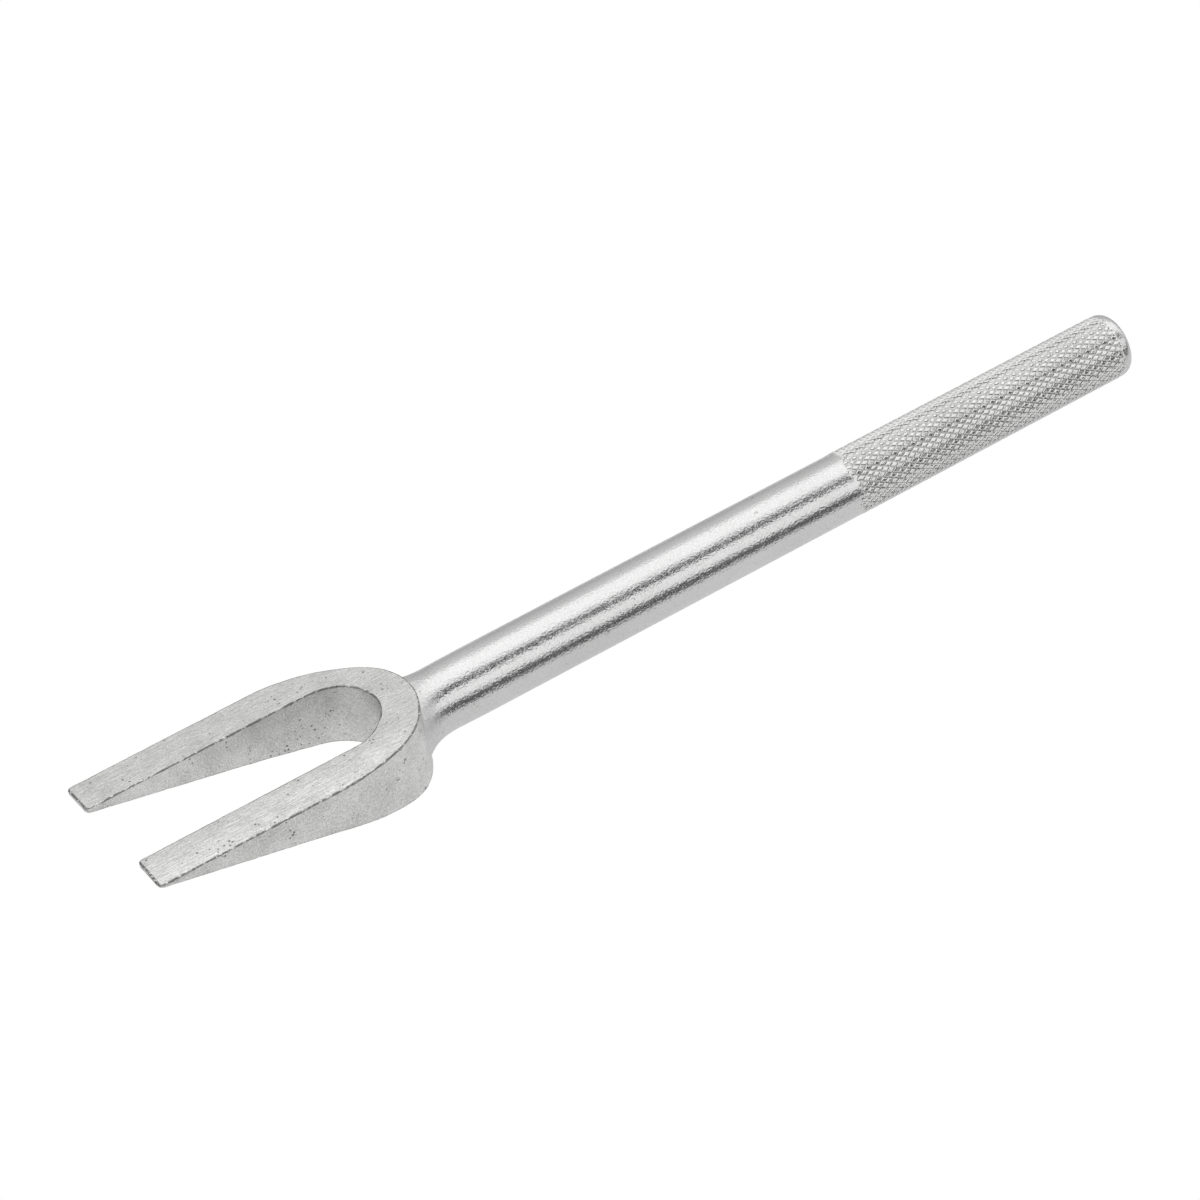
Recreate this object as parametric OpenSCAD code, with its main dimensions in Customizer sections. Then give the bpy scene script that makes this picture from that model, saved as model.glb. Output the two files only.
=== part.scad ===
// Ball joint separator: a forked wedge on a round bar, forged and turned
// from one piece of steel. The fork slides round the stud of a ball joint,
// and a hammer on the far end drives its two wedges between arm and knuckle.
//
// Frame: +X runs from the fork's tips to the struck end, +Z is up through
// the fork's flat face, and the origin lies under the middle of the whole
// bar, level with its lowest face.
//
// The steel is continuous. Each node is one zone of it, ended by the face
// that the next zone begins with.

/* [Fork] */
// Opening between the two tines
slot_w = 29; // [18:0.5:45]
// Length of each tine, from the centre of the round throat to its tip
tine_len = 69.5; // [50:1:110]
// Width of a tine at its tip
tine_tip_w = 12.3; // [6:0.1:18]
// Width of a tine at its root
tine_root_w = 12.6; // [8:0.1:18]
// Straight length between the throat's centre and the start of the shoulder
shoulder_len = 13; // [4:0.5:30]
// Metal behind the throat, on the centre line
bridge_t = 10.5; // [6:0.5:20]
// Radius of the rounded back of the fork
back_r = 22.5; // [18.5:0.5:25]

/* [Wedge] */
// Height of the fork at its back, where it is thickest
head_h = 21.4; // [18:0.1:30]
// Thickness left at the tips
tip_t = 1.6; // [0.5:0.1:4]
// Angle between the flat top and the sloping underside
wedge_deg = 13; // [12:0.5:18]

/* [Neck] */
// Distance from the back of the fork to the end of the neck
neck_len = 21; // [14:1:50]
// Radius of the hollow where the fork's back sweeps into the bar
neck_fillet_r = 7; // [3:0.5:12]
// Depth to which the hollow cuts into the fork's back, at its crease
crease_depth = 0.15; // [0.05:0.05:0.5]
// Depth of the shallow waist beside the fork
waist = 0.25; // [0.05:0.05:1]
// Step from the fork's flat top down to the crown of the bar
top_step = 1.4; // [0.5:0.1:3]

/* [Bar] */
// Diameter of the smooth bar
bar_d = 20; // [17:0.5:20.5]
// Length of the smooth bar, from the neck to the knurling
bar_len = 126; // [60:1:260]
// Length of the knurled grip
grip_len = 99.5; // [60:0.5:160]
// Height of the knurling's crests above the smooth bar
knurl_rise = 0.1; // [0.02:0.01:0.3]
// Length of the plain end beyond the knurling
end_len = 3.5; // [2:0.1:12]
// Radius of the rounded rim of the struck face
rim_r = 3.2; // [0.5:0.1:6]

/* [Hidden] */
$fn = 96;

bar_r = bar_d / 2;
throat_r = slot_w / 2;
neck_r = bar_r - waist;
root_half = throat_r + tine_root_w;
tip_half = throat_r + tine_tip_w;
back_len = throat_r + bridge_t;
total_len = tine_len + back_len + neck_len + bar_len + grip_len + end_len;

// stations along X
tip_x = -total_len / 2;
throat_x = tip_x + tine_len;
shoulder_x = throat_x - shoulder_len;
back_x = throat_x + back_len;
back_centre_x = back_x - back_r;
bar_x = back_x + neck_len;
grip_x = bar_x + bar_len;
end_x = grip_x + grip_len;

// The tool lies on its lowest face, under the knurling or under the fork.
axis_z = max(bar_r + knurl_rise, head_h - top_step - bar_r);
top_z = axis_z + bar_r + top_step;
base_z = top_z - head_h;

// The shoulder is an arc that leaves the tine's root along X and runs
// tangent into the back's own arc.
shoulder_run = back_centre_x - shoulder_x;
shoulder_r = (pow(shoulder_run, 2) + pow(root_half, 2) - pow(back_r, 2))
    / (2 * (root_half - back_r));
shoulder_y = root_half - shoulder_r;
tangent_x = shoulder_x + shoulder_run * shoulder_r / (shoulder_r - back_r);

// The hollow of the neck is an arc that touches the bar and cuts a little
// into the back, so that it ends in a crease there.
hollow_y = neck_r + neck_fillet_r;
hollow_x = sqrt(pow(back_r + neck_fillet_r, 2) - pow(hollow_y, 2)) - crease_depth;
flare_r = hollow_y * back_r / (back_r + neck_fillet_r);

wedge_run = (head_h - tip_t) / tan(wedge_deg);
over = 1;

steel = [0.76, 0.77, 0.78];
bright_steel = [0.84, 0.85, 0.86];
grip_steel = [0.70, 0.71, 0.72];

// Half of the shoulders' outline: inside this one circle.
module shoulder_disc(side) {
    translate([shoulder_x, side * shoulder_y])
        circle(shoulder_r, $fn = 360);
}

// The fork seen from above, without its slot.
module fork_outline() {
    polygon([
        [tip_x, -tip_half], [shoulder_x, -root_half],
        [shoulder_x, root_half], [tip_x, tip_half]
    ]);
    intersection() {
        shoulder_disc(1);
        shoulder_disc(-1);
        translate([shoulder_x, -root_half])
            square([tangent_x - shoulder_x, 2 * root_half]);
    }
    translate([back_centre_x, 0])
        circle(back_r, $fn = 180);
}

// The slot: parallel sides and a half-round throat.
module slot_outline() {
    translate([throat_x, 0])
        circle(throat_r);
    translate([tip_x - over, -throat_r])
        square([tine_len + over, slot_w]);
}

// The fork seen from the side: flat on top, sloping below.
module wedge_outline() {
    polygon([
        [tip_x, top_z], [tip_x, top_z - tip_t],
        [tip_x + wedge_run, base_z], [back_x + over, base_z], [back_x + over, top_z]
    ]);
}

module fork_solid() {
    intersection() {
        linear_extrude(top_z)
            difference() {
                fork_outline();
                slot_outline();
            }
        translate([0, root_half + over, 0])
            rotate([90, 0, 0])
                linear_extrude(2 * (root_half + over))
                    wedge_outline();
    }
}

// One side of the fork ahead of the throat's centre.
module tine(side) {
    intersection() {
        fork_solid();
        translate([tip_x - over, side > 0 ? 0 : -root_half - over, -over])
            cube([tine_len + over, root_half + over, top_z + 2 * over]);
    }
}

module left_tine() {
    color(steel) tine(1);
}

module right_tine() {
    color(steel) tine(-1);
}

module fork_bridge() {
    color(steel)
        intersection() {
            fork_solid();
            translate([throat_x, -root_half - over, -over])
                cube([back_len + over, 2 * (root_half + over), top_z + 2 * over]);
        }
}

// Lays a solid that was made along Z along the bar's axis, from station x.
module along_bar(x) {
    translate([x, 0, axis_z])
        rotate([0, 90, 0])
            children();
}

// The bar's waist and the hollow flare, ended on the fork's rounded back.
module neck() {
    color(bright_steel)
        difference() {
            along_bar(back_centre_x) {
                cylinder(h = bar_x - back_centre_x, r1 = neck_r, r2 = bar_r);
                rotate_extrude()
                    difference() {
                        square([flare_r, hollow_x]);
                        translate([hollow_y, hollow_x])
                            circle(neck_fillet_r);
                    }
            }
            translate([0, 0, axis_z - root_half])
                linear_extrude(2 * root_half)
                    fork_outline();
        }
}

module smooth_bar() {
    color(bright_steel)
        along_bar(bar_x)
            cylinder(h = bar_len, r = bar_r);
}

module knurled_grip() {
    color(grip_steel)
        along_bar(grip_x)
            cylinder(h = grip_len, r = bar_r + knurl_rise);
}

// The plain end, with its rim rounded for the hammer.
module struck_end() {
    color(bright_steel)
        along_bar(end_x)
            rotate_extrude() {
                square([bar_r - rim_r, end_len]);
                square([bar_r, end_len - rim_r]);
                translate([bar_r - rim_r, end_len - rim_r])
                    intersection() {
                        circle(rim_r);
                        square(rim_r);
                    }
            }
}

left_tine();
right_tine();
fork_bridge();
neck();
smooth_bar();
knurled_grip();
struck_end();
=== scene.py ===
"""Looks of a forged ball joint separator: a plated steel fork on a knurled bar.

Lengths are in metres and angles in degrees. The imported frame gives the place
and size of every zone of the tool, and the pieces below are worked out from it.
"""

import bpy
import numpy as np
from mathutils import Matrix, Vector


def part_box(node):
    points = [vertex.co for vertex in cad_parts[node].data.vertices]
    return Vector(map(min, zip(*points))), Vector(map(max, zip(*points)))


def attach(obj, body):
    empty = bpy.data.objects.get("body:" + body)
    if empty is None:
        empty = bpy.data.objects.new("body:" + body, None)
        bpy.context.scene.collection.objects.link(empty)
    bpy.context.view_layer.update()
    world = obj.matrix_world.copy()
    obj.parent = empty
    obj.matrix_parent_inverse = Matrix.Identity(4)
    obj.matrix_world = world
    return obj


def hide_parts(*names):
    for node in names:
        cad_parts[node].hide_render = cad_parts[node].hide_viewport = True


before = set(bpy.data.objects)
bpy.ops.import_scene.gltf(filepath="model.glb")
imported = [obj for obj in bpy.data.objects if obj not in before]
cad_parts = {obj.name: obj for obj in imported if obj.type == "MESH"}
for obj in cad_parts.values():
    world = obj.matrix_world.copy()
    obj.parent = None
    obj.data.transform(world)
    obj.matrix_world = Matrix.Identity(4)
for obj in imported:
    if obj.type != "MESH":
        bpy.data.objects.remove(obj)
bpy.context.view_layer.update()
MM = 0.001

# ---------------------------------------------------------------- sizes

TINE_LOW, TINE_HIGH = (np.array(c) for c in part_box("left_tine"))
FORK_LOW, FORK_HIGH = (np.array(c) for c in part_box("fork_bridge"))
BAR_LOW, BAR_HIGH = (np.array(c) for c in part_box("smooth_bar"))
GRIP_LOW, GRIP_HIGH = (np.array(c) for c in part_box("knurled_grip"))
END_LOW, END_HIGH = (np.array(c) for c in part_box("struck_end"))

TIP_X = TINE_LOW[0]
THROAT_X = TINE_HIGH[0]
BACK_X = FORK_HIGH[0]
BAR_X = BAR_LOW[0]
GRIP_X = GRIP_LOW[0]
END_X = END_LOW[0]
LAST_X = END_HIGH[0]
TOP_Z = FORK_HIGH[2]
BASE_Z = FORK_LOW[2]
THROAT_R = TINE_LOW[1]
BAR_R = (BAR_HIGH[1] - BAR_LOW[1]) / 2
GRIP_R = (GRIP_HIGH[1] - GRIP_LOW[1]) / 2
AXIS_Z = (BAR_HIGH[2] + BAR_LOW[2]) / 2
# the tips' thickness, the wedge's slope, and where the tines turn into the shoulders
TIP_T = 1.6 * MM
WEDGE = (TOP_Z - TIP_T - TINE_LOW[2]) / (THROAT_X - TIP_X)
SHOULDER_X = THROAT_X - 13 * MM


# ---------------------------------------------------------------- mesh tools

NOISE_VALUES = 4096


def smooth_noise(x, step, seed):
    """A smooth random line in -1..1: random values every step, joined by cosine easing."""
    values = np.random.default_rng(seed).uniform(-1, 1, NOISE_VALUES)
    k = np.abs(x) / step
    i = np.floor(k).astype(int) % (NOISE_VALUES - 1)
    t = (1 - np.cos(np.pi * (k - np.floor(k)))) / 2
    return values[i] * (1 - t) + values[i + 1] * t


def ease(x):
    """The smooth step 3x^2 - 2x^3, held to 0..1."""
    x = np.clip(x, 0, 1)
    return x * x * (3 - 2 * x)


def make_piece(name, verts, faces, material, smooth=True):
    """One mesh object at the origin, riding on the tool's only body."""
    mesh = bpy.data.meshes.new(name)
    mesh.from_pydata(np.asarray(verts).tolist(), [], faces)
    mesh.polygons.foreach_set("use_smooth", [smooth] * len(mesh.polygons))
    mesh.materials.append(material)
    mesh.update()
    piece = bpy.data.objects.new(name, mesh)
    bpy.context.scene.collection.objects.link(piece)
    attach(piece, "root")
    return piece


def tube_faces(rings, around):
    """Quads of a grid of rings, closed round each ring, then a flat cap at each end."""
    i = np.arange(rings - 1)[:, None] * around
    j = np.arange(around)[None]
    k = (j + 1) % around
    faces = np.stack([i + j, i + k, i + around + k, i + around + j], 2).reshape(-1, 4).tolist()
    faces.append(list(range(around))[::-1])
    faces.append(list(range((rings - 1) * around, rings * around)))
    return faces


def round_axis(x, r, turn):
    """Points at radius r and angle turn round the bar's axis."""
    return np.stack([x, r * np.cos(turn), AXIS_Z + r * np.sin(turn)], 2)


def add_mask(piece, name, values):
    """Stores one number per vertex, for the materials to read."""
    layer = piece.data.attributes.new(name, "FLOAT", "POINT")
    layer.data.foreach_set("value", np.asarray(values, dtype=np.float32))


# ---------------------------------------------------------------- materials

def new_group(name, inputs, outputs):
    """An empty shader group with float, colour or vector sockets."""
    group = bpy.data.node_groups.new(name, "ShaderNodeTree")
    kinds = {"f": "NodeSocketFloat", "c": "NodeSocketColor", "v": "NodeSocketVector"}
    for label, kind, value in inputs:
        socket = group.interface.new_socket(label, in_out="INPUT", socket_type=kinds[kind])
        socket.default_value = value
    for label, kind in outputs:
        group.interface.new_socket(label, in_out="OUTPUT", socket_type=kinds[kind])
    return group, group.nodes.new("NodeGroupInput"), group.nodes.new("NodeGroupOutput")


def plug(tree, made, label, value):
    """Sets one input to a number, or links it to another node's output."""
    if isinstance(value, bpy.types.NodeSocket):
        tree.links.new(value, made.inputs[label])
    else:
        made.inputs[label].default_value = value


def node(tree, kind, settings=None, **sockets):
    """A node with its settings and inputs. An input is named by its label or, as i0, by index."""
    made = tree.nodes.new(kind)
    for key, value in (settings or {}).items():
        setattr(made, key, value)
    for key, value in sockets.items():
        by_index = key[0] == "i" and key[1:].isdigit()
        plug(tree, made, int(key[1:]) if by_index else key.replace("_", " "), value)
    return made


def math(tree, operation, a, b=0.0, clamp=False):
    """The output of one Math node."""
    made = node(tree, "ShaderNodeMath", {"operation": operation, "use_clamp": clamp}, i0=a, i1=b)
    return made.outputs[0]


def noise(tree, vector, scale, detail=3.0, roughness=0.55):
    """The value output of a noise texture."""
    made = node(tree, "ShaderNodeTexNoise", None, Vector=vector, Scale=scale,
                Detail=detail, Roughness=roughness)
    return made.outputs[0]


def object_place(tree, stretch=(1.0, 1.0, 1.0)):
    """Object coordinates, stretched along the axes."""
    place = tree.nodes.new("ShaderNodeTexCoord").outputs["Object"]
    return node(tree, "ShaderNodeMapping", None, Vector=place, Scale=stretch).outputs[0]


def ramp(tree, value, low, high):
    """Maps low..high to 0..1, held at both ends."""
    return node(tree, "ShaderNodeMapRange", {"clamp": True}, i0=value, i1=low, i2=high).outputs[0]


def mix_colours(tree, share, first, second, blend="MIX"):
    """The colour output of one Mix node."""
    return node(tree, "ShaderNodeMix", {"data_type": "RGBA", "blend_type": blend},
                i0=share, i6=first, i7=second).outputs[2]


def build_plating_group():
    """Zinc plating's tone: broad clouds, fine speckle and small dark pits."""
    group, source, out = new_group(
        "plating_tone",
        [("Vector", "v", (0, 0, 0)), ("Light", "c", (0.8, 0.8, 0.8, 1)),
         ("Dark", "c", (0.6, 0.6, 0.6, 1)), ("Cloud", "f", 60.0), ("Speckle", "f", 1400.0),
         ("Pits", "f", 0.5), ("Roughness", "f", 0.25), ("Spread", "f", 0.1)],
        [("Color", "c"), ("Roughness", "f"), ("Pit", "f")])
    s = source.outputs
    cloud = noise(group, s["Vector"], s["Cloud"], 4.0)
    speckle = noise(group, s["Vector"], s["Speckle"], 2.0)
    tone = math(group, "ADD", math(group, "MULTIPLY", cloud, 0.35),
                math(group, "MULTIPLY", speckle, 0.65))
    tone = ramp(group, tone, 0.32, 0.62)
    cells = node(group, "ShaderNodeTexVoronoi", {"feature": "F1"},
                 Vector=s["Vector"], Scale=800.0)
    size = ramp(group, noise(group, s["Vector"], 230.0, 2.0), 0.46, 0.75)
    near = math(group, "SUBTRACT", math(group, "MULTIPLY", size, 0.42),
                cells.outputs["Distance"])
    pit = math(group, "MULTIPLY", ramp(group, near, 0.0, 0.12), s["Pits"])
    mixed = mix_colours(group, tone, s["Dark"], s["Light"])
    pitted = mix_colours(group, pit, mixed, (0.25, 0.24, 0.23, 1), "MULTIPLY")
    rough = math(group, "ADD", s["Roughness"],
                 math(group, "MULTIPLY", math(group, "SUBTRACT", 0.5, tone), s["Spread"]))
    rough = math(group, "ADD", rough, math(group, "MULTIPLY", pit, 0.3), clamp=True)
    group.links.new(pitted, out.inputs["Color"])
    group.links.new(rough, out.inputs["Roughness"])
    group.links.new(pit, out.inputs["Pit"])
    return group


def build_peel_group():
    """Height of the plating's skin: an orange peel over a finer grain."""
    group, source, out = new_group(
        "plating_peel",
        [("Vector", "v", (0, 0, 0)), ("Peel", "f", 900.0), ("Grain", "f", 3200.0),
         ("Grain share", "f", 0.3)],
        [("Height", "f")])
    s = source.outputs
    peel = noise(group, s["Vector"], s["Peel"], 2.0, 0.5)
    grain = noise(group, s["Vector"], s["Grain"], 1.0, 0.5)
    height = math(group, "ADD", peel, math(group, "MULTIPLY", grain, s["Grain share"]))
    group.links.new(height, out.inputs["Height"])
    return group


def build_edge_shade_group():
    """A painted dark shade line along an edge: the edge mask, cut up by noise."""
    group, source, out = new_group(
        "edge_shade_lines",
        [("Vector", "v", (0, 0, 0)), ("Edge", "f", 0.0), ("Break", "f", 420.0),
         ("Cover", "f", 0.5)],
        [("Mask", "f")])
    s = source.outputs
    broken = noise(group, s["Vector"], s["Break"], 3.0, 0.6)
    level = math(group, "SUBTRACT", math(group, "ADD", broken, s["Cover"]), 1.0)
    mask = math(group, "MULTIPLY", ramp(group, level, 0.0, 0.1), s["Edge"])
    group.links.new(mask, out.inputs["Mask"])
    return group


PLATING = build_plating_group()
PEEL = build_peel_group()
PAINTED_EDGE_SHADE = build_edge_shade_group()


def grouped(tree, group, **sockets):
    """A group node with its inputs set."""
    made = tree.nodes.new("ShaderNodeGroup")
    made.node_tree = group
    for key, value in sockets.items():
        plug(tree, made, key.replace("_", " "), value)
    return made.outputs


def new_metal(name, color=(0.8, 0.8, 0.8)):
    """A material whose Principled shader is a metal, and its tree."""
    material = bpy.data.materials.new(name)
    material.use_nodes = True
    material.diffuse_color = (*color, 1)
    shader = material.node_tree.nodes["Principled BSDF"]
    shader.inputs["Metallic"].default_value = 1.0
    return material, material.node_tree, shader


def attribute(tree, name):
    """The value of one of the piece's own masks."""
    return node(tree, "ShaderNodeAttribute", {"attribute_name": name}).outputs["Fac"]


def finish_metal(tree, shader, colour, rough, height, distance):
    """Joins colour, roughness and a bump of that height to the metal."""
    bump = node(tree, "ShaderNodeBump", None, Strength=1.0, Distance=distance, Height=height)
    tree.links.new(colour, shader.inputs["Base Color"])
    tree.links.new(rough, shader.inputs["Roughness"])
    tree.links.new(bump.outputs[0], shader.inputs["Normal"])


def ground_zinc():
    """The fork: satin, with fine grinding streaks along the tines, painted dark shade lines along
    the edges and tips, and painted shade on the throat's inner wall.
    """
    material, tree, shader = new_metal("ground_zinc", (0.76, 0.76, 0.755))
    flat = attribute(tree, "flat")
    place = object_place(tree)
    along = object_place(tree, (70.0, 900.0, 900.0))
    tone = grouped(tree, PLATING, Vector=place, Light=(0.92, 0.92, 0.912, 1),
                   Dark=(0.62, 0.62, 0.612, 1), Cloud=130.0, Speckle=1800.0, Pits=0.7,
                   Roughness=0.33, Spread=0.2)
    streaks = noise(tree, along, 3.0, 4.0, 0.65)
    peel = grouped(tree, PEEL, Vector=place, Peel=1100.0, Grain=3600.0, Grain_share=0.5)
    lines = math(tree, "MULTIPLY", streaks, flat)
    streak_tone = math(tree, "MULTIPLY", math(tree, "SUBTRACT", streaks, 0.5), flat)
    lighter = math(tree, "ADD", 1.0, math(tree, "MULTIPLY", streak_tone, 1.1))
    # painted shade: the throat's inner wall is darkened by up to 30 %
    painted_throat_shade = math(tree, "MULTIPLY", attribute(tree, "painted_throat_shade"), 0.3)
    lighter = math(tree, "MULTIPLY", lighter, math(tree, "SUBTRACT", 1.0, painted_throat_shade))
    # painted shade: broken dark lines along the edges and round the tips, mixed below toward near
    # black
    edge_shade = grouped(tree, PAINTED_EDGE_SHADE, Vector=place, Edge=attribute(tree, "edge"),
                   Break=850.0, Cover=0.62)
    tip = grouped(tree, PAINTED_EDGE_SHADE, Vector=place, Edge=attribute(tree, "tip"),
                  Break=1100.0, Cover=0.62)
    dark = math(tree, "MAXIMUM", math(tree, "MULTIPLY", edge_shade["Mask"], 0.75), tip["Mask"])
    grey = node(tree, "ShaderNodeCombineXYZ", None, X=lighter, Y=lighter, Z=lighter).outputs[0]
    toned = mix_colours(tree, 1.0, tone["Color"], grey, "MULTIPLY")
    colour = mix_colours(tree, dark, toned, (0.10, 0.098, 0.095, 1))
    height = math(tree, "ADD", peel["Height"], math(tree, "MULTIPLY", lines, 1.3))
    height = math(tree, "SUBTRACT", height, math(tree, "MULTIPLY", tone["Pit"], 3.0))
    finish_metal(tree, shader, colour, tone["Roughness"], height, 0.075 * MM)
    return material


def bright_zinc():
    """The bar: bright, with an orange peel that breaks up reflected edges."""
    material, tree, shader = new_metal("bright_zinc", (0.82, 0.82, 0.82))
    place = object_place(tree)
    tone = grouped(tree, PLATING, Vector=place, Light=(0.83, 0.83, 0.828, 1),
                   Dark=(0.69, 0.69, 0.686, 1), Cloud=45.0, Speckle=1700.0, Pits=0.4,
                   Roughness=0.11, Spread=0.06)
    peel = grouped(tree, PEEL, Vector=place, Peel=1400.0, Grain=3400.0, Grain_share=0.35)
    rings = noise(tree, object_place(tree, (1500.0, 60.0, 60.0)), 1.0, 2.0, 0.5)
    height = math(tree, "ADD", peel["Height"],
                  math(tree, "MULTIPLY", rings, attribute(tree, "turned")))
    rough = math(tree, "ADD", tone["Roughness"],
                 math(tree, "MULTIPLY", attribute(tree, "scaled"), 0.3), clamp=True)
    finish_metal(tree, shader, tone["Color"], rough, height, 0.10 * MM)
    return material


def knurled_zinc():
    """The grip: bright crests over grooves darkened by painted shade."""
    material, tree, shader = new_metal("knurled_zinc", (0.78, 0.78, 0.775))
    place = object_place(tree)
    tone = grouped(tree, PLATING, Vector=place, Light=(0.86, 0.86, 0.855, 1),
                   Dark=(0.74, 0.74, 0.735, 1), Cloud=50.0, Speckle=1500.0, Pits=0.1,
                   Roughness=0.11, Spread=0.06)
    # painted shade: the grooves' colour is multiplied up to about 16 % darker
    groove = attribute(tree, "groove")
    colour = mix_colours(tree, math(tree, "MULTIPLY", groove, 0.35), tone["Color"],
                         (0.55, 0.55, 0.545, 1), "MULTIPLY")
    peel = grouped(tree, PEEL, Vector=place, Peel=1500.0, Grain=4200.0, Grain_share=0.4)
    finish_metal(tree, shader, colour, tone["Roughness"], peel["Height"], 0.05 * MM)
    return material


# ---------------------------------------------------------------- the fork

# The forging isn't quite even: the right shoulder came out fuller than the left.
# throat is a share of THROAT_R, crown is how far the top falls toward the outer
# wall, and tip is how far the tine starts from TIP_X.
SIDES = {
    "left": {"tine": 12.1 * MM, "back_r": 19.5 * MM, "throat": 0.02,
             "crown": 0.10 * MM, "tip": -0.6 * MM},
    "right": {"tine": 12.6 * MM, "back_r": 25.0 * MM, "throat": -0.05,
              "crown": 0.85 * MM, "tip": 0.15 * MM},
}
# stations by distance from the tip: the first ones close together, where it is
# rounded, and even ones from EVEN_FROM to the shoulder
TIP_STATIONS = np.array([0, 0.04, 0.1, 0.18, 0.28, 0.4, 0.6, 0.85, 1.15, 1.5]) * MM
EVEN_FROM = 1.9 * MM
TINE_STATIONS = 150
BEND_STATIONS = 130
FACE_POINTS = 13
EDGE_POINTS = 6
EDGE_R = 0.34 * MM
CORNER_R = 1.7 * MM
END_R = 0.35 * MM
BELLY = 0.55 * MM


def throat_wall(path, swell):
    """Inner wall from the shoulder's station to the back of the throat.

    Straight along X, then a quarter turn about the throat's centre whose
    radius is THROAT_R (1 + swell sin^2 2a)."""
    straight = THROAT_X - SHOULDER_X
    length = straight + THROAT_R * np.pi / 2
    run = path * length
    a = np.pi / 2 - np.clip(run - straight, 0, None) / THROAT_R
    r = THROAT_R * (1 + swell * np.sin(2 * a) ** 2)
    x = np.where(run < straight, SHOULDER_X + run, THROAT_X + r * np.cos(a))
    y = np.where(run < straight, THROAT_R, r * np.sin(a))
    return x, y


def outer_wall(path, half, back_r):
    """Outer wall from the shoulder to the back: a wide arc, then a tighter one.

    The wide arc leaves the tine along X and runs tangent into the arc of
    radius back_r about a centre on the middle line."""
    centre_x = BACK_X - back_r
    run = centre_x - SHOULDER_X
    wide_r = (run ** 2 + half ** 2 - back_r ** 2) / (2 * (half - back_r))
    wide_y = half - wide_r
    meet = np.arctan2(-wide_y, run)
    wide_len = wide_r * (np.pi / 2 - meet)
    length = wide_len + back_r * meet
    s = path * length
    a = np.pi / 2 - s / wide_r
    b = meet - (s - wide_len) / back_r
    x = np.where(s < wide_len, SHOULDER_X + wide_r * np.cos(a), centre_x + back_r * np.cos(b))
    y = np.where(s < wide_len, wide_y + wide_r * np.sin(a), back_r * np.sin(b))
    return x, y


def half_fork(side):
    """Stations of one half, tip to back: inner wall, outer wall, crown, distance from the tip."""
    half = THROAT_R + side["tine"]
    tip_x = TIP_X + side["tip"]
    rest = np.linspace(EVEN_FROM, SHOULDER_X - tip_x, TINE_STATIONS)
    x = tip_x + np.concatenate([TIP_STATIONS, rest[:-1]])
    inner = np.stack([x, np.full_like(x, THROAT_R)], 1)
    outer = np.stack([x, np.full_like(x, half)], 1)
    path = np.linspace(0, 1, BEND_STATIONS)
    bend_in = np.stack(throat_wall(path, side["throat"]), 1)
    bend_out = np.stack(outer_wall(path, half, side["back_r"]), 1)
    inner = np.concatenate([inner, bend_in])
    outer = np.concatenate([outer, bend_out])
    level = np.concatenate([np.ones_like(x), np.cos(path * np.pi / 2) ** 2])
    return inner, outer, level * side["crown"], np.minimum(inner[:, 0], outer[:, 0]) - tip_x


def fork_section():
    """Sample points round the fork's rounded four-sided section.

    Each has across (0 inner wall, 1 outer wall) and height (0 bottom, 1 top),
    and the edge radius that it is set in by, in each direction."""
    arc = np.linspace(0, np.pi / 2, EDGE_POINTS)
    face = (1 - np.cos(np.linspace(0, np.pi, FACE_POINTS + 2))[1:-1]) / 2
    back = face[::-1]
    zero, one = np.zeros(EDGE_POINTS), np.ones(EDGE_POINTS)
    blank, full = np.zeros(FACE_POINTS), np.ones(FACE_POINTS)
    rise, fall = 1 - np.cos(arc), 1 - np.sin(arc)
    across = np.concatenate([face, one, full, one, back, zero, blank, zero])
    height = np.concatenate([full, one, back, zero, blank, zero, face, one])
    inset_a = np.concatenate([1 - 2 * face, -fall, blank, -rise,
                              1 - 2 * back, fall, blank, rise])
    inset_h = np.concatenate([blank, -rise, 1 - 2 * back, fall,
                              blank, rise, 1 - 2 * face, -fall])
    # edge: where the painted dark shade line goes, full on the top edges and 0.6 on the bottom
    # ones
    edge = np.concatenate([blank, one, blank, one * 0.6, blank, one * 0.6, blank, one])
    flat = np.concatenate([full, one * 0.5, blank, zero, full, zero, blank, one * 0.5])
    return across, height, inset_a, inset_h, edge, flat


def joined(left, right):
    """Stations from the left tip round the throat to the right tip."""
    return np.concatenate([left, right[::-1][1:]])


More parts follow.
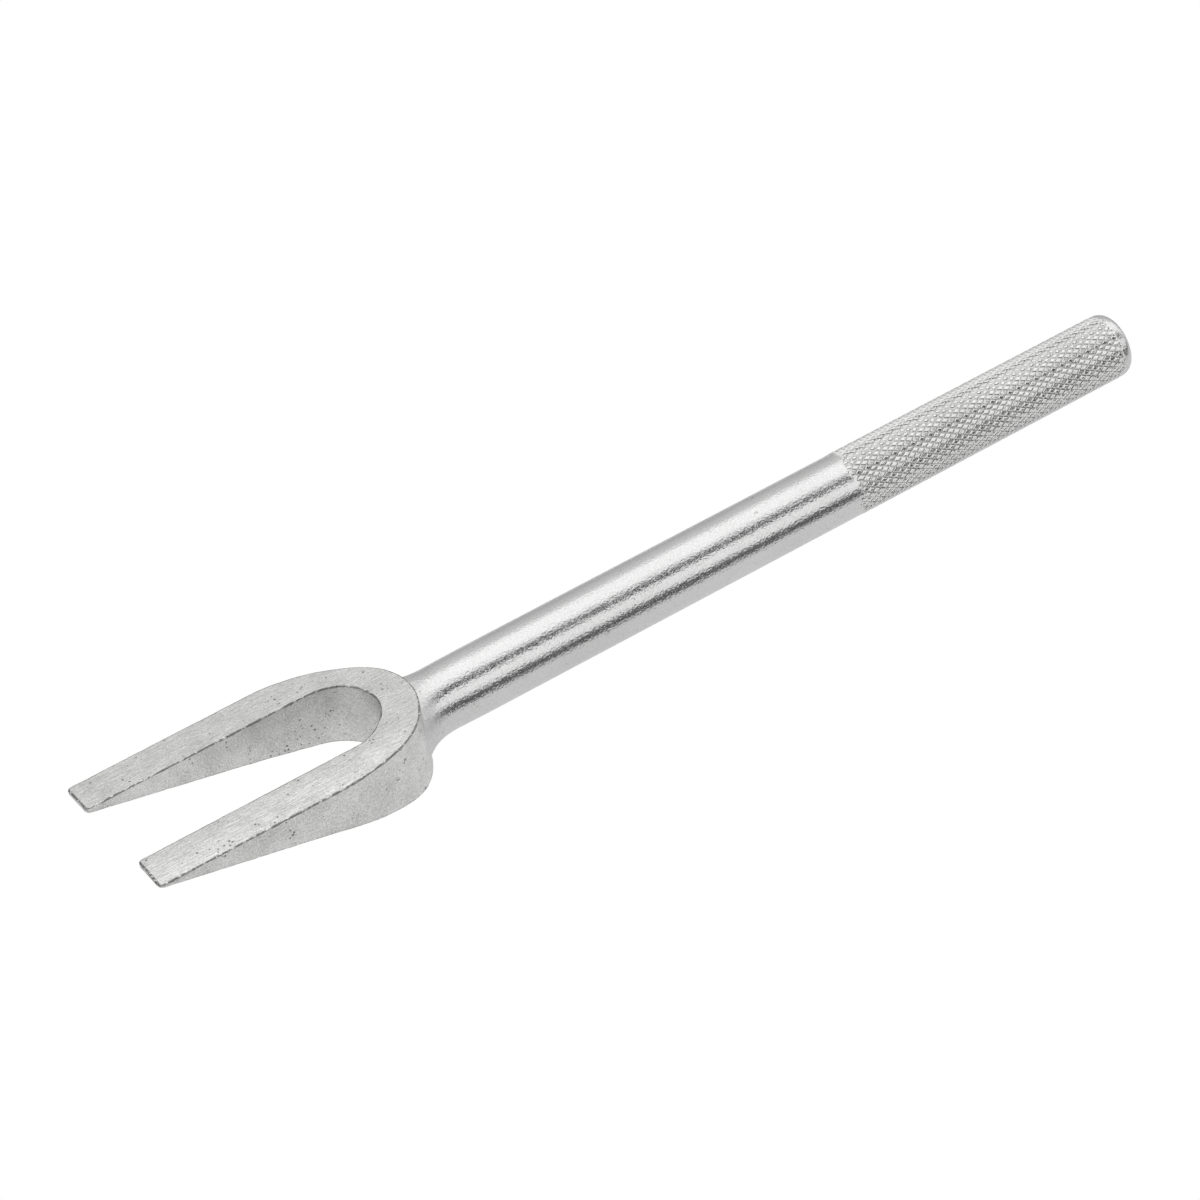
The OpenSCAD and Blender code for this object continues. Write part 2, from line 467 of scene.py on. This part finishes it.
def make_fork(material):
    """The whole fork as one skin: the section carried from tip to tip round the throat."""
    left_in, left_out, left_crown, left_tip = half_fork(SIDES["left"])
    right_in, right_out, right_crown, right_tip = half_fork(SIDES["right"])
    flip = np.array([1, -1])
    inner = joined(left_in, right_in * flip)
    outer = joined(left_out, right_out * flip)
    crown = joined(left_crown, right_crown)
    from_tip = joined(left_tip, right_tip)
    across, height, inset_a, inset_h, edge, flat = fork_section()

    length = np.concatenate([[0], np.cumsum(np.hypot(*np.diff(inner, axis=0).T))])
    wall = outer - inner
    width = np.hypot(*wall.T)
    wall /= width[:, None]
    uneven = (1 + 0.35 * smooth_noise(length, 3.1 * MM, 3)
              + 0.2 * smooth_noise(length, 0.9 * MM, 4))
    radius = EDGE_R * uneven

    # the tips: rounded corners in plan, and a small rounding on the end face
    cut = CORNER_R - np.sqrt(CORNER_R ** 2 - np.clip(CORNER_R - from_tip, 0, CORNER_R) ** 2)
    close = END_R - np.sqrt(END_R ** 2 - np.clip(END_R - from_tip, 0, END_R) ** 2)
    cut = cut * 0.8 + close

    a = across[None] * width[:, None] + inset_a[None] * radius[:, None]
    a = a + (1 - 2 * across[None]) * cut[:, None]
    plan = inner[:, None] + a[..., None] * wall[:, None]
    wave = smooth_noise(length, 9 * MM, 11)[:, None] * np.sin(np.pi * height[None]) * 0.06 * MM
    outward = np.where(across[None] > 0.5, 1, -1)[..., None]
    plan = plan + wave[..., None] * wall[:, None] * outward

    # the wedge's underside, fuller round the throat, runs down to a flat
    x = plan[..., 0]
    belly = BELLY * np.exp(-((x - THROAT_X - 3 * MM) / (14 * MM)) ** 2)
    bottom = np.maximum(TOP_Z - TIP_T - WEDGE * (x - TIP_X) - belly, BASE_Z)
    z = height[None] * TOP_Z + (1 - height[None]) * bottom + inset_h[None] * radius[:, None]
    z = z - height[None] * crown[:, None] * across[None] ** 2
    z = z - (2 * height[None] - 1) * close[:, None]
    verts = np.concatenate([plan, z[..., None]], 2)

    rings, around = verts.shape[:2]
    faces = [face[::-1] for face in tube_faces(rings, around)]
    piece = make_piece("fork_forging", verts.reshape(-1, 3), faces, material)

    every = np.ones(rings)[:, None]
    add_mask(piece, "edge", (edge[None] * every).ravel())
    add_mask(piece, "flat", (flat[None] * every).ravel())
    # tip: painted dark shade round the tips' rims and on a band of the top just behind the end,
    # fading out over 2.2 mm
    far = np.clip(1 - from_tip / (2.2 * MM), 0, 1)[:, None] * np.ones(around)[None]
    past_end = from_tip > 0.05 * MM
    lip = (past_end & (from_tip < 0.7 * MM))[:, None] * (height[None] > 0.45)
    rim = np.maximum(edge[None] * past_end[:, None], lip)
    add_mask(piece, "tip", (far * rim).ravel())
    # painted shade on the slot's inner wall and its rounded edges near the throat: full from 12
    # mm before the throat's back to 10 mm past it, fading over 30 mm toward the tips, and
    # stronger toward the top of the wall
    deep = ease((x - THROAT_X + 42 * MM) / (30 * MM))
    deep = deep * ease((THROAT_X + 20 * MM - x) / (10 * MM))
    inner_wall = (across == 0) * ease(height * 0.7 + 0.15)
    add_mask(piece, "painted_throat_shade", (deep * inner_wall[None]).ravel())
    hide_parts("left_tine", "right_tine", "fork_bridge")
    return piece


# ---------------------------------------------------------------- the bar

HOLLOW_R = 23 * MM
WAIST = 0.25 * MM
# one radius for the whole of the fork's back, between those of its two sides
BACK_R = 22.5 * MM
NECK_START = BACK_X - 8 * MM
NECK_END = BACK_X + 10 * MM
BAR_END = GRIP_X + 2.6 * MM
NECK_STATIONS = 90
BAR_STATIONS = 300
BAR_AROUND = 144
NOSE_LEN = 4.5 * MM
NOSE_DIP = 0.9 * MM
OUT_OF_ROUND = 0.012 * MM
UNDER_GRIP = 0.32 * MM


def neck_hollow(x, back_r):
    """How far the neck swells sideways: an arc of radius HOLLOW_R, tangent to bar and fork.

    Past the point where it meets the back, of radius back_r, it swells no more."""
    hollow_y = BAR_R - WAIST + HOLLOW_R
    reach = np.sqrt((back_r + HOLLOW_R) ** 2 - hollow_y ** 2)
    hollow_x = BACK_X - back_r + reach
    depth = np.clip(hollow_x - x, 0, reach * HOLLOW_R / (back_r + HOLLOW_R))
    return HOLLOW_R - np.sqrt(HOLLOW_R ** 2 - depth ** 2)


def make_bar(material):
    """The neck and the smooth bar as one turned skin from inside the fork to the knurling."""
    x = np.concatenate([np.linspace(NECK_START, NECK_END, NECK_STATIONS)[:-1],
                        np.linspace(NECK_END, BAR_END, BAR_STATIONS)])
    turn = np.linspace(0, 2 * np.pi, BAR_AROUND, endpoint=False)
    xx, tt = np.meshgrid(x, turn, indexing="ij")
    side, lift = np.cos(tt), np.sin(tt)
    # strongest on the neck's upper left flank, and little anywhere else
    flank = ease((lift + 0.05) / 0.5) * ease((0.75 - lift + side) / 1.5 + 0.5 * (side < 0))
    back_here = BACK_X - BACK_R + np.sqrt(BACK_R ** 2 - (BAR_R * side) ** 2)
    near_back = np.clip(1 - (xx - back_here) / NOSE_LEN, 0, 1)
    leftward = ease((side + 0.3) / 0.6)
    back_r = SIDES["right"]["back_r"] * (1 - leftward) + SIDES["left"]["back_r"] * leftward
    swell = neck_hollow(xx, back_r) * (1 - 0.85 * flank * (side < 0.3))
    r = BAR_R - WAIST * (1 - ease((xx - BACK_X) / (BAR_X - BACK_X)))
    r = r - NOSE_DIP * flank * (1 - np.sqrt(1 - 0.98 * near_back ** 2))
    r = r + OUT_OF_ROUND * np.sin(tt * 2 + 1) * np.sin(xx / (31 * MM))
    ragged = (0.9 + 0.7 * np.sin(tt * 5)) * MM
    r = r - UNDER_GRIP * ease((xx - GRIP_X - ragged) / (1.2 * MM))
    # the swollen part is squarer in section, all but its upper right quarter
    flattening = np.where(lift < 0, 0.45, 0.35 * (side > 0))
    square = 1 - np.clip(swell / (4 * MM), 0, 1) * flattening
    y = (r + swell) * side
    z = AXIS_Z + (r + 0.12 * swell * (lift > 0)) * np.sign(lift) * np.abs(lift) ** square
    verts = np.stack([xx, y, z], 2)
    piece = make_piece("turned_bar", verts.reshape(-1, 3), tube_faces(*verts.shape[:2]),
                       material)
    add_mask(piece, "turned", 1.6 * (1 - ease((xx.ravel() - BACK_X - 2 * MM) / (22 * MM))))
    add_mask(piece, "scaled", 1 - ease((xx.ravel() - BACK_X + 1 * MM) / (8 * MM)))
    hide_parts("neck", "smooth_bar")
    return piece


# ---------------------------------------------------------------- the knurling

STARTS = 34
LEAD = 3.25 * MM
GROOVE = 0.38 * MM
# one cell from groove to groove: where its points lie, and how high they stand there
CELL = np.array([0.0, 0.15, 0.29, 0.71, 0.85])
RISE = np.array([0.0, 0.68, 1.0, 1.0, 0.68])
FADE_IN = 2.4 * MM
FADE_OUT = 1.5 * MM
TUCK = 0.35 * MM
GRIP_END = GRIP_HIGH[0]


def make_knurling(material):
    """Diamond knurling: two sets of V grooves, one winding each way.

    With A = n a / 2 pi + x / lead and B = n a / 2 pi - x / lead, the grooves lie
    where A or B is whole, so x = lead (A - B) / 2 and a = pi (A + B) / n. Each
    cell carries its own few points, from groove to flat crest."""
    m = len(CELL)
    cells = int(np.ceil((GRIP_END - GRIP_X) / (LEAD / 2)))
    ia = np.arange(STARTS * m)[:, None]
    ib = ia - np.arange(cells * m + 1)[None]
    place_a = ia // m + CELL[ia % m]
    place_b = ib // m + CELL[ib % m]
    x = GRIP_X + 0.2 * MM + LEAD * (place_a - place_b) / 2
    turn = np.pi * (place_a + place_b) / STARTS
    crest = np.minimum(RISE[ia % m], RISE[ib % m])
    ragged = 0.6 * MM * np.sin(turn * 5 + 0.7) + 0.4 * MM * np.sin(turn * 13)
    fade = ease((x - GRIP_X - 0.6 * MM - ragged) / FADE_IN)
    fade = fade * ease((GRIP_END - 0.1 * MM - x) / FADE_OUT)
    depth = GROOVE * (1 - crest) * fade
    lift = (GRIP_R - BAR_R) * fade
    uneven = 1 + 0.03 * smooth_noise(x, 17 * MM, 5)
    r = BAR_R + lift - depth * uneven
    # both ends dip under their neighbours' skins
    ends = np.maximum(GRIP_X + 0.5 * MM - x, x - (GRIP_END - 0.2 * MM))
    r = r - TUCK * ease(ends / (0.6 * MM))
    verts = round_axis(x, r, turn)

    rows, cols = x.shape
    here = np.arange(rows)[:, None] * cols
    after = (np.arange(rows)[:, None] + 1) % rows * cols
    k = np.arange(1, cols - 1)[None]
    quads = [here + k, here + k - 1, after + k, after + k + 1]
    faces = np.stack(quads, 2).reshape(-1, 4).tolist()
    # each zigzag end is closed by a fan to a point on the axis
    here, after = here[:, 0], after[:, 0]
    low, high = np.full(rows, rows * cols), np.full(rows, rows * cols + 1)
    last = cols - 1
    for fan in ((here, here + 1, low), (after + 1, here, low),
                (here + last - 1, after + last, high),
                (after + last, after + last - 1, high)):
        faces += np.stack(fan, 1).tolist()
    centres = [[verts[0, 0, 0], 0, AXIS_Z], [verts[0, -1, 0], 0, AXIS_Z]]
    verts = np.concatenate([verts.reshape(-1, 3), centres])
    piece = make_piece("diamond_knurling", verts, faces, material, smooth=False)
    # the groove mask carries the grooves' painted shade
    add_mask(piece, "groove", np.append((1 - crest) * fade, [0, 0]))
    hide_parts("knurled_grip")
    return piece


# ---------------------------------------------------------------- the struck end

RIM_R = 3.2 * MM
RIM_POINTS = 18
END_AROUND = 96


def make_struck_end(material):
    """The plain end: a turned profile with a rounded rim, run inside the knurling."""
    a = np.linspace(0, np.pi / 2, RIM_POINTS)
    profile = np.concatenate([
        [[END_X - 2.5 * MM, BAR_R - 0.6 * MM], [END_X - 0.4 * MM, BAR_R - 0.5 * MM],
         [END_X, BAR_R - 0.12 * MM], [END_X + 0.12 * MM, BAR_R - 0.02 * MM]],
        np.stack([LAST_X - RIM_R + RIM_R * np.sin(a), BAR_R - RIM_R + RIM_R * np.cos(a)], 1),
        [[LAST_X, BAR_R - RIM_R - 0.15 * MM], [LAST_X, 4 * MM], [LAST_X, 1.5 * MM]]])
    turn = np.linspace(0, 2 * np.pi, END_AROUND, endpoint=False)
    x = np.repeat(profile[:, 0, None], END_AROUND, 1)
    r = np.repeat(profile[:, 1, None], END_AROUND, 1)
    dents = 1 + np.sin(3 * turn + 14 * r / BAR_R)
    x = x - 0.03 * MM * dents * ease((x - LAST_X + RIM_R) / RIM_R)
    verts = round_axis(x, r, turn)
    piece = make_piece("hammer_end", verts.reshape(-1, 3), tube_faces(*x.shape),
                       material)
    add_mask(piece, "turned", np.full(x.size, 0.3))
    add_mask(piece, "scaled", np.full(x.size, 0.35))
    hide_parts("struck_end")
    return piece


# ---------------------------------------------------------------- stage

def light_path(tree, plain, seen):
    """The plain shader, with the seen one in its place for camera rays."""
    path = tree.nodes.new("ShaderNodeLightPath").outputs["Is Camera Ray"]
    mix = tree.nodes.new("ShaderNodeMixShader")
    tree.links.new(path, mix.inputs[0])
    tree.links.new(plain, mix.inputs[1])
    tree.links.new(seen, mix.inputs[2])
    return mix.outputs[0]


# Soft panels that run along the bar: angle round it, from level in front
# (0) through overhead (90) to level behind (180), and brightness there.
PANELS = [
    (-180, 0.45), (-60, 0.55), (-24, 0.50), (-18, 0.11), (1, 0.11), (9, 0.92), (40, 0.97),
    (45, 0.90), (47, 0.03), (55, 0.04), (66, 0.70), (78, 1.12), (120, 1.15), (127, 0.80),
    (132, 0.68), (150, 0.62), (165, 0.52), (180, 0.47),
]


def make_world():
    """Long soft panels with two dark gaps between them, seen by the camera as plain white."""
    world = bpy.data.worlds.new("studio")
    bpy.context.scene.world = world
    world.use_nodes = True
    tree = world.node_tree
    tree.nodes.clear()
    place = tree.nodes.new("ShaderNodeTexCoord").outputs["Generated"]
    parts = node(tree, "ShaderNodeSeparateXYZ", None, Vector=place).outputs
    front = math(tree, "MULTIPLY", parts["Y"], -1.0)
    angle = math(tree, "ARCTAN2", parts["Z"], front)
    step = math(tree, "ADD", math(tree, "DIVIDE", angle, 2 * np.pi), 0.5)
    colours = node(tree, "ShaderNodeValToRGB", None, Fac=step)
    stops = colours.color_ramp.elements
    stops.remove(stops[-1])
    stops[0].position = 0.0
    for degrees, value in PANELS:
        stop = stops.new(degrees / 360 + 0.5)
        stop.color = (value, value, value, 1)
    stops[0].color = stops[1].color
    studio = node(tree, "ShaderNodeBackground", None, Color=colours.outputs[0], Strength=1.0)
    white = node(tree, "ShaderNodeBackground", None, Color=(1, 1, 1, 1), Strength=1.0)
    out = tree.nodes.new("ShaderNodeOutputWorld")
    tree.links.new(light_path(tree, studio.outputs[0], white.outputs[0]), out.inputs[0])


def make_floor():
    """A pale floor, well under the tool, which the camera sees as plain white."""
    mesh = bpy.data.meshes.new("floor")
    side, near, far, low = 1.6, -0.56, 1.2, -0.22
    corners = [(-side, near, low), (side, near, low), (side, far, low), (-side, far, low)]
    mesh.from_pydata(corners, [], [(0, 1, 2, 3)])
    floor = bpy.data.objects.new("floor", mesh)
    bpy.context.scene.collection.objects.link(floor)
    material = bpy.data.materials.new("pale_floor")
    material.use_nodes = True
    tree = material.node_tree
    shader = tree.nodes["Principled BSDF"]
    shader.inputs["Base Color"].default_value = (0.80, 0.80, 0.80, 1)
    shader.inputs["Roughness"].default_value = 0.8
    white = node(tree, "ShaderNodeEmission", None, Color=(1, 1, 1, 1), Strength=1.0)
    out = tree.nodes["Material Output"]
    tree.links.new(light_path(tree, shader.outputs[0], white.outputs[0]), out.inputs[0])
    mesh.materials.append(material)


def make_camera():
    """A long lens from in front of the tips and above, leaning with the tool."""
    azimuth, elevation, lean = np.radians([-26.3, 37.3, -11.1])
    distance = 1.15
    target = np.array([THROAT_X + 78.5 * MM, -20.3 * MM, AXIS_Z + 21.8 * MM])
    ahead = np.array([-np.sin(azimuth) * np.cos(elevation), np.cos(azimuth) * np.cos(elevation),
                      -np.sin(elevation)])
    level = np.cross(ahead, [0, 0, 1])
    level /= np.linalg.norm(level)
    upward = np.cross(level, ahead)
    right = level * np.cos(lean) + upward * np.sin(lean)
    up = upward * np.cos(lean) - level * np.sin(lean)
    data = bpy.data.cameras.new("camera")
    data.sensor_width = 36.0
    data.lens = 124.2
    data.clip_start = 0.01
    camera = bpy.data.objects.new("camera", data)
    place = Matrix((right, up, -ahead)).transposed().to_4x4()
    place.translation = Vector(target - ahead * distance)
    camera.matrix_world = place
    bpy.context.scene.collection.objects.link(camera)
    bpy.context.scene.camera = camera


make_camera()
make_world()
make_floor()
bright = bright_zinc()
make_fork(ground_zinc())
make_bar(bright)
make_knurling(knurled_zinc())
make_struck_end(bright)

bpy.context.scene.view_settings.view_transform = "Standard"
